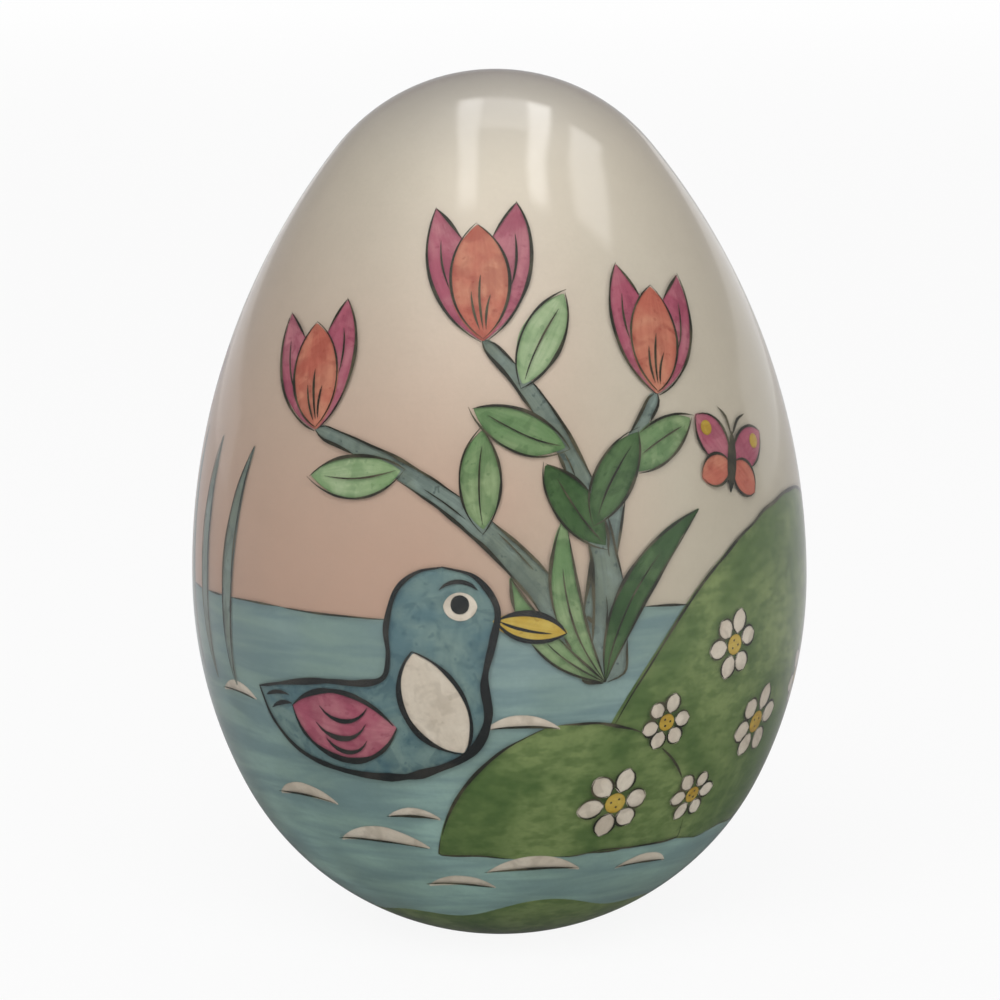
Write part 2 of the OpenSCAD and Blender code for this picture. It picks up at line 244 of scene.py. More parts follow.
def glass_finish(name, roughness):
    """Clear glass; lamps and scattered light shine straight through it, onto the paint behind it and back."""
    finish = Finish(name)
    sockets = {
        "Base Color": (0.985, 0.995, 0.99, 1),
        "Transmission Weight": 1.0,
        "IOR": 1.5,
        "Roughness": roughness,
        "Normal": finish.bump(finish.noise(finish.where(), 75, 1), 1.0, 0.00006),
    }
    glass = finish.add("ShaderNodeBsdfPrincipled", {}, sockets)
    clear = finish.add("ShaderNodeBsdfTransparent", {}, {"Color": (0.96, 0.97, 0.965, 1)})
    lamp_light, scattered = finish.rays("Shadow", "Diffuse")
    straight = lamp_light.either(scattered)
    return finish.done(finish.add("ShaderNodeMixShader", {}, {0: straight, 1: glass, 2: clear}))


shell = bmesh.new()
corners = [skin(shell, 0, foot, step=0.85)]
for x, z in ((hole + edge_break, 0), (hole, edge_break)):
    corners.append(shell.verts.new((x, 0, z)))
corners.append(skin(shell, wetted_depth, hole, step=2.0))
for first, second in zip(corners, corners[1:]):
    shell.edges.new((first, second))
lathe(shell, 256)
for face in shell.faces:
    if face.calc_center_median().z < edge_break and abs(face.normal.z) > 0.5:
        face.material_index = 1
glass = [glass_finish("clear_glass", 0.125), glass_finish("ground_glass", 0.45)]
settle("glass_blank", shell, glass, "clear_glass", "glass_shell")

# INK
# Drawn first, through the hole, with a fine brush, so it lies in front of every colour: dark water-based ink,
# with lines that swell and thin as the hand presses, and that run on a little past the corners.
ink_depth = 2.43


def wall_radius(z, depth):
    """Distance of a coat from the egg's axis at a height."""
    if z > belly_z + (shoulder - depth) * math.sin(shoulder_angle):
        x, middle, radius = 0, crown_z, crown
    elif z > belly_z:
        x, middle, radius = belly - shoulder, belly_z, shoulder
    elif z > belly_z - (flank - depth) * math.sin(flank_angle):
        x, middle, radius = belly - flank, belly_z, flank
    else:
        x, middle, radius = 0, bottom_z, bottom
    return x + math.sqrt(max((radius - depth) ** 2 - (z - middle) ** 2, 0))


def on_wall(point, turn, depth):
    """Carries a point of a flat picture, across + 1j * up, onto the wall that faces a turn in degrees."""
    across = point.real
    away = -math.sqrt(max(wall_radius(point.imag, depth) ** 2 - across**2, 0))
    c, s = math.cos(math.radians(turn)), math.sin(math.radians(turn))
    return Vector((c * across - s * away, s * across + c * away, point.imag))


def patch(bm, along, across, place, turn, depth):
    """Adds a patch of paint to a bmesh; place says where each of its points lies on the picture."""
    marks = bm.loops.layers.uv.verify()
    grid = bmesh.ops.create_grid(bm, x_segments=along, y_segments=across, size=0.5)
    faces = {face for vertex in grid["verts"] for face in vertex.link_faces}
    for face in faces:
        for loop in face.loops:
            loop[marks].uv = (loop.vert.co.x + 0.5, loop.vert.co.y + 0.5)
    for vertex in grid["verts"]:
        vertex.co = on_wall(place(vertex.co.x + 0.5, vertex.co.y + 0.5), turn, depth)
    for face in faces:
        face.normal_update()
        middle = face.calc_center_median()
        if face.normal.x * middle.x + face.normal.y * middle.y + face.normal.z * (middle.z - belly_z) < 0:
            face.normal_flip()


def bow(start, end, rise, count=24):
    """Points along the round arc between two points that stands a rise to the left of the way there."""
    way = end - start
    span = abs(way)
    points = []
    for index in range(count + 1):
        t = index / count
        height = 0
        if rise:
            radius = (span**2 / 4 + rise**2) / (2 * abs(rise))
            height = abs(rise) - radius + math.sqrt(max(radius**2 - ((t - 0.5) * span) ** 2, 0))
        points.append(start + way * t + 1j * way / span * math.copysign(height, rise))
    return points


def curve(points, count=40):
    """A smooth line through some points."""
    ends = [2 * points[0] - points[1], *points, 2 * points[-1] - points[-2]]
    line = []
    for index in range(count + 1):
        place = index / count * (len(points) - 1)
        k = min(int(place), len(points) - 2)
        t = place - k
        a, b, c, d = ends[k : k + 4]
        bend = (2 * a - 5 * b + 4 * c - d) * t**2 + (3 * b - a - 3 * c + d) * t**3
        line.append(0.5 * (2 * b + (c - a) * t + bend))
    return line


def at(line, t):
    """The point at a share of the way along a line, and the direction there."""
    place = min(max(t, 0), 1) * (len(line) - 1)
    k = min(int(place), len(line) - 2)
    way = line[k + 1] - line[k]
    return line[k] + way * (place - k), way / abs(way)


def waver(where, size=1.0):
    """The unevenness of the hand: a number round 0 that drifts along a line."""
    return size * noise.noise(Vector((where.real, where.imag, 7.3)))


def ribbon(bm, line, width, turn, depth, thin=0.15, swell=0.35, across=4, shake=0.0):
    """A long stroke along a line, narrow at its two ends."""
    length = sum(abs(b - a) for a, b in zip(line, line[1:]))

    def place(u, v):
        point, way = at(line, u)
        ends = thin + (1 - thin) * math.sin(math.pi * min(u, 1 - u, 0.5)) ** 0.7
        wide = width * ends * (1 + waver(point * 0.45 + turn, swell) * 1.6)
        drift = waver(point * 0.22 + 3 * turn, shake)
        return point + 1j * way * ((v - 0.5) * wide + drift)

    patch(bm, max(6, round(length / 0.6)), across, place, turn, depth)


covers = []


def wall_place(point, turn):
    """Where a point of a flat picture lies on the wall: degrees round the egg + 1j * height."""
    across = min(max(point.real / wall_radius(point.imag, ink_depth), -1), 1)
    return complex(turn + math.degrees(math.asin(across)), point.imag)


def cover(turn, *outlines):
    """Notes outlines of finished motifs, so that what is drawn after them goes on behind them."""
    for outline in outlines:
        places = [wall_place(point, turn) for point in outline]
        low = complex(min(p.real for p in places), min(p.imag for p in places))
        high = complex(max(p.real for p in places), max(p.imag for p in places))
        covers.append((low, high, list(zip(places, places[1:] + places[:1]))))


def covered(point, turn):
    """True where a finished motif lies in front of a point."""
    for low, high, sides in covers:
        where = wall_place(point, turn)
        where += 360 * round(((low + high) / 2 - where).real / 360)
        if not (low.real < where.real < high.real and low.imag < where.imag < high.imag):
            continue
        crossings = 0
        for a, b in sides:
            if (a.imag > where.imag) != (b.imag > where.imag):
                share = (where.imag - a.imag) / (b.imag - a.imag)
                crossings += where.real < a.real + share * (b.real - a.real)
        if crossings % 2:
            return True
    return False


def pen(bm, line, turn, width=0.3, shake=0.14):
    """An ink line, lifted wherever a finished motif is in the way."""
    steps = max(8, math.ceil(sum(abs(b - a) for a, b in zip(line, line[1:])) / 0.3))
    run = []
    for index in range(steps + 1):
        point = at(line, index / steps)[0]
        shown = not covered(point, turn)
        if shown:
            run.append(point)
        if run and (not shown or index == steps):
            if len(run) > 3:
                ribbon(bm, run, width, turn, ink_depth, across=2, shake=shake)
            run = []


def placed(line, origin, angle=0.0, size=1.0, flip=False):
    """Moves a line to its place: mirrored, turned by degrees, sized and carried to an origin."""
    turned = complex(math.cos(math.radians(angle)), math.sin(math.radians(angle))) * size
    return [origin + turned * (complex(-p.real, p.imag) if flip else p) for p in line]


def srgb(red, green, blue):
    """A colour as a paint chart gives it, for the shader."""
    parts = (red / 255, green / 255, blue / 255)
    return tuple(p / 12.92 if p < 0.04 else ((p + 0.055) / 1.055) ** 2.4 for p in parts) + (1,)


def ink_finish(name, dark, thin, thinned):
    """Ink that is dark where it is thick, and thinned where the brush ran dry."""
    finish = Finish(name)
    where = finish.where()
    body = finish.spread(finish.noise(where, 260, 3), 0.42, 0.68)
    grain = finish.noise(where, 2600, 1)
    colour = finish.blend(body * thinned, dark, thin)
    colour = finish.blend(grain * 0.3, colour, srgb(52, 50, 44))
    return finish.paint(colour, grain, body)


ink = ink_finish("ink", srgb(24, 29, 31), srgb(66, 63, 58), 0.55)
thin_ink = ink_finish("thin_ink", srgb(42, 42, 34), srgb(98, 92, 72), 0.8)

# DUCK
# A plump duck on the near side of the pond: teal-blue body and head in one flowing wash, a magenta wing, a
# cream bib and a yellow bill. The ink outline comes first, then bill, bib and wing, and last the plumage.
duck_turn = -24
duck_place = 23.45j
yellow_depth = 2.46
cream_depth = 2.49
magenta_depth = 2.55
plumage_depth = 2.58
tail_tip = -14.0 + 5.7j
head_top = 6.6 + 19.2j
bill_root = 11.6 + 14.04j
bill_tip = 17.4 + 12.64j
wing_root = -9.9 + 4.2j
bib_point = 3.7 + 10.9j


def wash_finish(name, deep, plain, light, pooled=0.6, hairs=0.2, specks=0.35):
    """A wash of colour: cloudy where it dried unevenly, streaked along the stroke and pooled at its edges."""
    finish = Finish(name)
    where = finish.where()
    along = finish.where("UV")
    cloud = finish.spread(finish.noise(where, 170, 3, 0.6, 0.5), 0.36, 0.64)
    stain = finish.spread(finish.noise(where, 420, 2, 0.5, 0.8), 0.5, 0.62)
    hair = finish.spread(finish.noise(finish.scaled(along, (2.2, 9, 1)), 1, 2, 0.6), 0.35, 0.7)
    speck = finish.spread(finish.noise(where, 1500, 1), 0.66, 0.72)
    grain = finish.noise(where, 2400, 2, 0.6)
    across = finish.part(along, "Y") * 2 - 1
    edge = across * across
    body = finish.blend(cloud, plain, light)
    body = finish.blend(stain * 0.34, body, deep)
    body = finish.blend(hair * hairs, body, deep)
    body = finish.blend(edge * edge * (stain * 0.4 + 0.6) * pooled, body, deep)
    body = finish.blend((grain - 0.5) * 0.4 + 0.05 + speck * specks, body, deep)
    return finish.paint(body, grain, cloud)


def dab(bm, start, end, over, under, turn, depth, along=26, across=10, fray=0.1, thin=0.08):
    """One brush mark, bowed over on its left and under on its right by so much; returns its outline."""
    way = end - start
    span = abs(way)
    left = 1j * way / span
    upper = bow(0j, complex(span), over, 40)
    lower = bow(0j, complex(span), -under, 40)

    def place(u, v):
        t = (1 - math.cos(math.pi * u)) / 2
        point = start + way * t
        top = at(upper, t)[0].imag + thin + waver(point * 0.5 + 11, fray)
        low = at(lower, t)[0].imag - thin - waver(point * 0.5 + 31j, fray)
        return point + left * (low + (top - low) * v)

    patch(bm, along, across, place, turn, depth)
    return [place(u / 20, 0) for u in range(21)] + [place(1 - u / 20, 1) for u in range(21)]


def on_duck(*points):
    """Places on the picture of points that are measured from the water line under the duck's middle."""
    return [duck_place + point for point in points]


back = [tail_tip, -11 + 6.3j, -6.5 + 7.1j, -2 + 7.4j, 0.7 + 8.1j, 1.4 + 10.4j, 1.25 + 13.2j, 2.2 + 16.6j]
back = on_duck(*back, 4.2 + 18.6j, head_top)
keel = [tail_tip, -12.4 + 2.0j, -8.6 - 1.0j, -2.8 - 2.1j, 3.4 - 1.6j, 8.4 + 0.7j, 10.5 + 4.2j, 10.4 + 8.2j]
keel = on_duck(*keel, 11.3 + 12j, 11.6 + 15.4j, 9.7 + 18.3j, head_top)

# Start, end, bow to the left and width of each stroke: wing, feathers, bib, bill, brow and tail.
duck_strokes = [
    (wing_root, 1.7 + 3.1j, -4.4, 0.7),
    (wing_root, 1.3 + 3.3j, 2.5, 0.55),
    (-6.6 + 4.6j, -1.2 + 4.9j, -1.5, 0.45),
    (-7.2 + 2.9j, -1.5 + 3.2j, -1.6, 0.45),
    (-6.2 + 1.3j, -1.6 + 1.5j, -1.3, 0.45),
    (bib_point, 7.9 + 0.6j, -3.4, 0.6),
    (bib_point, 8.0 + 0.6j, 2.6, 0.45),
    (bill_root, bill_tip, 1.4, 0.5),
    (bill_root, bill_tip, -1.4, 0.5),
    (bill_root + 0.2, bill_tip - 1.2, -0.25, 0.35),
    (6.4 + 17.0j, 9.9 + 17.0j, 0.8, 0.4),
    (-13.2 + 4.9j, -10.2 + 5.2j, 0.3, 0.5),
    (-12.6 + 3.6j, -9.9 + 4.4j, 0.3, 0.5),
]
lines = bmesh.new()
pen(lines, curve(back, 90), duck_turn, 0.75)
pen(lines, curve(keel, 110), duck_turn, 0.8)
for start, end, rise, width in duck_strokes:
    pen(lines, bow(*on_duck(start, end), rise), duck_turn, width)
dab(lines, *on_duck(7.5 + 15.6j, 9.2 + 15.6j), 0.85, 0.85, duck_turn, ink_depth, 12, 8, 0.02)
settle("duck_lines", lines, ink, "ink", "duck_ink")
cover(duck_turn, curve(back, 60) + curve(keel, 60)[::-1])

bill = bmesh.new()
cover(duck_turn, dab(bill, *on_duck(bill_root - 0.3, bill_tip), 1.35, 1.35, duck_turn, yellow_depth))
yellow = wash_finish("yellow_paint", srgb(140, 102, 32), srgb(182, 150, 54), srgb(196, 170, 84), 0.5)
settle("duck_bill", bill, yellow, "yellow_paint", "yellow_details")

bib = bmesh.new()
dab(bib, *on_duck(3.9 + 10.7j, 7.8 + 0.8j), 2.6, 3.4, duck_turn, cream_depth, fray=0.15)
dab(bib, *on_duck(6.8 + 15.4j, 9.9 + 15.4j), 1.3, 1.3, duck_turn, cream_depth, 14, 8, 0.02)
creams = srgb(160, 146, 130), srgb(204, 191, 174), srgb(216, 205, 189)
cream = wash_finish("cream_paint", *creams, 0.3, 0.12, 0.15)
settle("duck_bib_and_eye", bib, cream, "cream_paint", "cream_breast")

wing = bmesh.new()
dab(wing, *on_duck(wing_root, 1.6 + 3.1j), 2.5, 4.4, duck_turn, magenta_depth)
magenta = wash_finish("magenta_paint", srgb(126, 54, 74), srgb(166, 86, 104), srgb(182, 118, 126), 0.5, 0.3)
settle("duck_wing", wing, magenta, "magenta_paint", "magenta_petals")

plumage = bmesh.new()
back_line, keel_line = curve(back, 90), curve(keel, 90)


def body_place(u, v):
    upper, lower = at(back_line, u)[0], at(keel_line, u)[0]
    return lower + (upper - lower) * v


patch(plumage, 70, 26, body_place, duck_turn, plumage_depth)
blues = srgb(54, 82, 92), srgb(88, 116, 121), srgb(118, 140, 134)
duck_blue = wash_finish("duck_blue_paint", *blues, 0.5)
settle("duck_plumage_wash", plumage, duck_blue, "duck_blue_paint", "duck_plumage")

# TULIPS
# Six flower heads, three on each face of the egg. The heart is coral and overlaps two magenta petals, all
# outlined in ink with a few quick streaks up from the base.
coral_depth = 2.52

# Turn in degrees, share of the height, tilt and size of each.
tulip_places = [
    (-40, 0.62, 16, 0.95),
    (-3, 0.72, 4, 1),
    (36, 0.655, -14, 0.95),
    (128, 0.6, -8, 0.9),
    (160, 0.7, 6, 1),
    (-160, 0.62, 14, 0.9),
]
petal_tip = 3.8 + 12.1j
heart_top = 10.5j
coral = wash_finish("coral_paint", srgb(144, 68, 58), srgb(184, 104, 86), srgb(198, 136, 110), 0.45, 0.3)
for number, (turn, share, tilt, size) in enumerate(tulip_places, 1):
    base = 1j * share * egg_top
    lines, hearts, petals = bmesh.new(), bmesh.new(), bmesh.new()

    def spot(point, flip=False):
        return placed([point], base, tilt, size, flip)[0]

    heart = dab(hearts, spot(0j), spot(heart_top), 2.8 * size, 2.8 * size, turn, coral_depth)
    for rise in (-2.8, 2.8):
        pen(lines, bow(spot(0.2j), spot(heart_top + 0.2j), rise * size), turn, 0.28)
    for lift, reach in ((-0.7, 4.6), (0.1, 6.0), (0.8, 4.2)):
        pen(lines, bow(spot(lift * 0.4 + 1.0j), spot(lift * 1.2 + 1j * reach), 0.2, 8), turn, 0.24)
    cover(turn, heart)
    outlines = []
    for flip in (False, True):
        sign = -1 if flip else 1
        root, tip = spot(0j), spot(petal_tip, flip)
        over, under = (2.15 - 0.45 * sign) * size, (2.15 + 0.45 * sign) * size
        outlines.append(dab(petals, root, tip, over, under, turn, magenta_depth))
        pen(lines, bow(spot(0.2 - 0.1j, flip), spot(petal_tip + 0.25j, flip), -sign * 2.7 * size), turn, 0.32)
        pen(lines, bow(root, spot(petal_tip + 0.1j, flip), sign * 1.75 * size), turn, 0.26)
        pen(lines, bow(spot(2.3 + 3.6j, flip), spot(3.5 + 9.4j, flip), -sign * 0.5 * size, 8), turn, 0.22)
    settle(f"tulip_{number}_lines", lines, thin_ink, "ink", "flower_ink")
    settle(f"tulip_{number}_heart", hearts, coral, "coral_paint", "coral_petals")
    settle(f"tulip_{number}_petals", petals, magenta, "magenta_paint", "magenta_petals")
    cover(turn, *outlines)

# STEMS AND LEAVES
# Blue-grey stems rise from one root on each face, thick below and thin under the flower. Leaves spring from
# them, some thin and pale and some laid on dark, and long leaves fan out round the root.
leaf_length = 9.2
long_leaf_length = 21
leaf_depth = 2.61
leaf_step = 0.002
long_leaf_depth = 2.632
long_leaf_step = 0.001
stem_depth = 2.64
stem_step = 0.004

# Turn in degrees and share of the height of the roots.
roots = [(20, 0.35), (150, 0.33)]


def seen(turn, share, facing):
    """A place on the wall as it is seen square on from another turn."""
    z = share * egg_top
    return complex(wall_radius(z, wall) * math.sin(math.radians(turn - facing)), z)


stem_paths = []
for number, (turn, share, tilt, _) in enumerate(tulip_places):
    root_turn, root_share = roots[0 if number < 3 else 1]
    facing = (root_turn + turn + (360 if root_turn - turn > 180 else 0)) / 2
    low, high = seen(root_turn, root_share, facing), seen(turn, share, facing)
    rise = 0.12 * abs(high - low) * (-1 if tilt > 0 else 1)
    stem_paths.append((facing, bow(low, high, rise, 60)))

pales = srgb(66, 96, 58), srgb(108, 136, 92), srgb(144, 162, 120)
thins = srgb(92, 126, 80), srgb(136, 160, 116), srgb(164, 180, 142)
darks = srgb(36, 58, 34), srgb(56, 84, 48), srgb(84, 110, 70)
leaf_dark = wash_finish("dark_leaf_paint", *darks, 0.6, 0.25)
leaf_pale = wash_finish("pale_leaf_paint", *pales, 0.8, 0.25)
leaf_thin = wash_finish("thin_leaf_paint", *thins, 0.7, 0.3)
leaf_paints = [leaf_dark, leaf_pale, leaf_thin]

# Number of the stem, share of the way up it, and side on which the leaf springs from it.
leaf_places = [
    (0, 0.5, -1),
    (0, 0.76, 1),
    (1, 0.44, -1),
    (1, 0.66, 1),
    (1, 0.86, -1),
    (2, 0.46, 1),
    (2, 0.72, -1),
    (3, 0.6, 1),
    (4, 0.45, -1),
    (4, 0.7, 1),
    (5, 0.6, -1),
]
for number, (stem, share, side) in enumerate(leaf_places, 1):
    facing, line = stem_paths[stem]
    low, high = line[0], line[-1]
    root = at(line, share)[0]
    heading = math.atan2((high - low).imag, (high - low).real) + math.radians(side * 48)
    tip = root + leaf_length * complex(math.cos(heading), math.sin(heading))
    way = (tip - root) / abs(tip - root)
    leaf, lines = bmesh.new(), bmesh.new()
    outline = dab(leaf, root, tip, 2.15, 1.7, facing, leaf_depth + leaf_step * number, fray=0.14)
    pen(lines, bow(root - way * 0.5, tip + way * 0.5, 2.2), facing, 0.24)
    pen(lines, bow(root - way * 0.5, tip + way * 0.2, -1.75), facing, 0.3)
    pen(lines, bow(root + way * 0.4, tip - way * 1.4, 0.35), facing, 0.18)
    settle(f"leaf_{number}", leaf, leaf_paints[number % 3], "leaf_green_paint", "green_leaves")
    settle(f"leaf_{number}_lines", lines, thin_ink, "ink", "flower_ink")
    cover(facing, outline)

# Number of the root, tilt and size of each long leaf.
long_leaves = [(0, 40, 0.66), (0, -34, 0.9), (0, 12, 0.8), (1, 40, 0.8), (1, -38, 0.9)]
for number, (root, tilt, size) in enumerate(long_leaves, 1):
    turn, share = roots[root]
    base = complex(0, share * egg_top)
    (reach,) = placed([complex(long_leaf_length * size)], base, 90 + tilt)
    depth = long_leaf_depth + long_leaf_step * number
    leaf, lines = bmesh.new(), bmesh.new()
    outline = dab(leaf, base, reach, 4.2 * size, -0.9 * size, turn, depth, 34, 12)
    pen(lines, bow(base, reach, 4.25 * size), turn, 0.3)
    pen(lines, bow(base, reach, 0.85 * size), turn, 0.26)
    pen(lines, bow(base, reach, 2.5 * size)[:18], turn, 0.2)
    settle(f"long_leaf_{number}", leaf, leaf_paints[number % 2], "leaf_green_paint", "green_leaves")
    settle(f"long_leaf_{number}_lines", lines, thin_ink, "ink", "flower_ink")
    cover(turn, outline)

teals = srgb(74, 86, 82), srgb(114, 124, 110), srgb(128, 142, 134)
stem_teal = wash_finish("stem_teal_paint", *teals, 0.45, 0.3, 0.7)


def girth(u, low, high):
    """Width of a stem at a share of its length: a slow taper between two rounded ends."""
    rounded = math.sqrt(1 - (1 - min(u / 0.05, (1 - u) / 0.04, 1)) ** 2)
    return (low + (high - low) * u**0.6) * (0.1 + 0.9 * rounded)


def tapered(bm, line, low, high, turn, depth):
    """A stroke that is wide at its root and narrow at its end; returns its outline."""

    def place(u, v):
        point, way = at(line, u)
        return point + 1j * way * (v - 0.5) * (girth(u, low, high) + waver(point * 0.4 + turn, 0.3))

    patch(bm, 90, 6, place, turn, depth)
    return [place(u / 50, 0) for u in range(51)] + [place(1 - u / 50, 1) for u in range(51)]


for number in (2, 1, 3, 5, 4, 6):
    facing, line = stem_paths[number - 1]
    stem, lines = bmesh.new(), bmesh.new()
    outline = tapered(stem, line, 4.2, 1.3, facing, stem_depth + stem_step * number)
    pen(lines, outline[:51], facing, 0.3, 0.05)
    pen(lines, outline[51:], facing, 0.36, 0.05)
    for start, side in ((6, 0.5), (20, -0.6), (33, 0.35)):
        mark = [at(line, (start + step) / 60)[0] for step in range(9)]
        way = mark[-1] - mark[0]
        pen(lines, [point + 1j * way / abs(way) * side for point in mark], facing, 0.16, 0.3)
    settle(f"stem_{number}", stem, stem_teal, "stem_teal_paint", "teal_stems")
    settle(f"stem_{number}_lines", lines, thin_ink, "ink", "flower_ink")
    cover(facing, outline)

# REEDS
# Two clumps of reeds at the pond's far edge, on the left and behind. Each blade is one quick stroke in the
# blue-grey of the stems, laid on after its two thin ink lines.
reed_foot = 0.32
reed_length = 24

# Turn in degrees and tilt of each blade.
reed_places = [(-62, -5), (-71, 1), (-80, 6), (-116, -5), (-125, 1), (-134, 6)]
for number, (turn, tilt) in enumerate(reed_places, 1):
    base = complex(0, reed_foot * egg_top)
    (tip,) = placed([complex(reed_length)], base, 90 + tilt)
    reed, lines = bmesh.new(), bmesh.new()
    outline = dab(reed, base, tip, 2.3, -0.5, turn, stem_depth + stem_step * number, 40, 5)
    pen(lines, bow(base, tip, 2.35), turn, 0.26)
    pen(lines, bow(base, tip, 0.5), turn, 0.26)
    settle(f"reed_{number}", reed, stem_teal, "stem_teal_paint", "back_reeds")
    settle(f"reed_{number}_lines", lines, thin_ink, "ink", "flower_ink")
    cover(turn, outline)

# BLOSSOMS
# Small cream blossoms with six pointed petals and a yellow eye, scattered over the hills. The petals differ a
# little in length and direction, as one small touch of the brush beside the next does.

# Turn in degrees, share of the height and size of each.
blossom_places = [
    (50, 0.37, 1),
    (34, 0.295, 0.85),
    (62, 0.27, 1.1),
    (25, 0.205, 1.05),
    (46, 0.2, 0.8),
    (84, 0.3, 0.9),
    (170, 0.24, 1),
    (205, 0.2, 0.9),
]
for number, (turn, share, size) in enumerate(blossom_places, 1):
    middle = complex(0, share * egg_top)
    petals, eye_dot, lines, outlines = bmesh.new(), bmesh.new(), bmesh.new(), []
    for petal in range(6):
        reach = 3.35 + waver(complex(petal * 1.7, number), 0.7)
        angle = petal * 60 + 11 + waver(complex(number, petal * 2.3), 16)
        near, far = placed([1.1 + 0j, reach + 0j], middle, angle, size)
        outlines.append(dab(petals, near, far, 0.88 * size, 0.88 * size, turn, cream_depth, 12, 6, 0.16))
        pen(lines, bow(near, far, 1.0 * size, 10), turn, 0.22, 0.05)
        pen(lines, bow(near, far, -1.0 * size, 10), turn, 0.22, 0.05)
    dab(eye_dot, middle - size, middle + size, size, size, turn, yellow_depth, 14, 10, 0.03, 0.0)
    for seed in placed([0.45j, 0.4 - 0.25j, -0.4 - 0.2j], middle, 20 * number, size):
        dab(lines, seed - 0.12, seed + 0.12, 0.1, 0.1, turn, ink_depth, 5, 4, 0.0, 0.02)
    settle(f"blossom_{number}_petals", petals, cream, "cream_paint", "cream_blossoms")
    settle(f"blossom_{number}_eye", eye_dot, yellow, "yellow_paint", "yellow_details")
    settle(f"blossom_{number}_lines", lines, thin_ink, "ink", "flower_ink")
    cover(turn, *outlines)

# BUTTERFLIES
# Two butterflies in the open ground, with magenta fore wings, coral hind wings and yellow spots. The body is
# one dab of ink, and each feeler a quick stroke.

# Turn in degrees, share of the height and tilt of each.
butterfly_places = [(53, 0.57, -18), (-98, 0.62, 14)]
for number, (turn, share, tilt) in enumerate(butterfly_places, 1):
    middle = complex(0, share * egg_top)
    fore, hind, spots, lines = bmesh.new(), bmesh.new(), bmesh.new(), bmesh.new()
    for flip in (False, True):
        wing_marks = [0.3 + 0j, 5.03 + 3.69j, 3.96 - 2.29j, 3.7 + 2.66j]
        root, fore_tip, hind_tip, spot_at = placed(wing_marks, middle, tilt, 1, flip)
        dab(spots, spot_at - 0.72, spot_at + 0.72, 0.72, 0.72, turn, yellow_depth, 10, 8, 0.02, 0.0)
        for rise in (1.6, -1.6):
            pen(lines, bow(root, hind_tip, rise, 14), turn, 0.28)
        cover(turn, dab(hind, root, hind_tip, 1.56, 1.56, turn, coral_depth, 16, 8))
        dab(fore, root, fore_tip, 1.8, 1.8, turn, magenta_depth, 18, 8)
        for rise in (1.85, -1.85):
            pen(lines, bow(root, fore_tip, rise, 14), turn, 0.3)
        feeler = placed([0.1 + 2.6j, 0.9 + 4.2j, 2.2 + 5.0j], middle, tilt, 1, flip)
        pen(lines, curve(feeler, 12), turn, 0.3, 0.05)
    tail, nose = placed([-3j, 3j], middle, tilt)
    dab(lines, tail, nose, 0.6, 0.6, turn, ink_depth, 16, 6, 0.04)
    settle(f"butterfly_{number}_fore_wings", fore, magenta, "magenta_paint", "magenta_petals")
    settle(f"butterfly_{number}_hind_wings", hind, coral, "coral_paint", "coral_petals")
    settle(f"butterfly_{number}_spots", spots, yellow, "yellow_paint", "yellow_details")
    settle(f"butterfly_{number}_lines", lines, thin_ink, "ink", "flower_ink")

# RIPPLES
# Cream crescents where the light catches the pond, each with a thin ink line under it. They are laid in the
# cream of the blossoms before the water closes round them.
ripple_depth = 2.67

# Turn in degrees, share of the height and size of each.
ripple_places = [
    (-48, 0.2, 1),
    (-30, 0.155, 1.2),
    (-20, 0.192, 0.65),
    (8, 0.125, 1.1),
    (-12, 0.105, 0.8),
    (-62, 0.31, 0.8),
    (4, 0.3, 0.9),
    (-108, 0.25, 1),
    (-150, 0.125, 1.1),
    (40, 0.12, 0.75),
]
for number, (turn, share, size) in enumerate(ripple_places, 1):
    middle = complex(0, share * egg_top)
    ripple, lines = bmesh.new(), bmesh.new()
    left_end, right_end = middle - 4 * size, middle + 4 * size
    outline = dab(ripple, left_end, right_end, 1.6 * size, -0.4 * size, turn, ripple_depth, 26, 5, 0.08)
    pen(lines, bow(middle - 4.3 * size, middle + 3.9 * size, 0.35 * size), turn, 0.26)
    settle(f"ripple_{number}", ripple, cream, "cream_paint", "cream_ripples")
    settle(f"ripple_{number}_lines", lines, thin_ink, "ink", "flower_ink")
    cover(turn, outline)

# HILLS AND NEAR BANK
# Round green hills on the right and behind, and a strip of green bank at the very bottom. They are laid on in
# short dabs of a loaded brush, so that the wash stays patchy. A thin line runs along each crest and foot.
hill_depth = 2.69
hill_step = 0.01
bank_depth = 2.72
bank_height = 6.2
shore = 13.0


def grass_finish():
    """Green in patches and short slanting dabs."""
    finish = Finish("hill_green_paint")
    where = finish.where()
    slanted = finish.scaled(where, (420, 420, 900), (0.4, 0.3, 0.5))
    patches = finish.spread(finish.noise(where, 110, 3, 0.6, 0.6), 0.34, 0.66)
    dabs = finish.spread(finish.noise(slanted, 1, 2, 0.6), 0.4, 0.66)
    grain = finish.noise(where, 2400, 2, 0.6)
    body = finish.blend(patches, srgb(84, 106, 60), srgb(124, 140, 88))
    body = finish.blend(dabs * 0.5, body, srgb(66, 90, 48))
    body = finish.blend((grain - 0.5) * 0.4 + 0.08, body, srgb(62, 80, 46))
    return finish.paint(body, grain, patches)


grass = grass_finish()

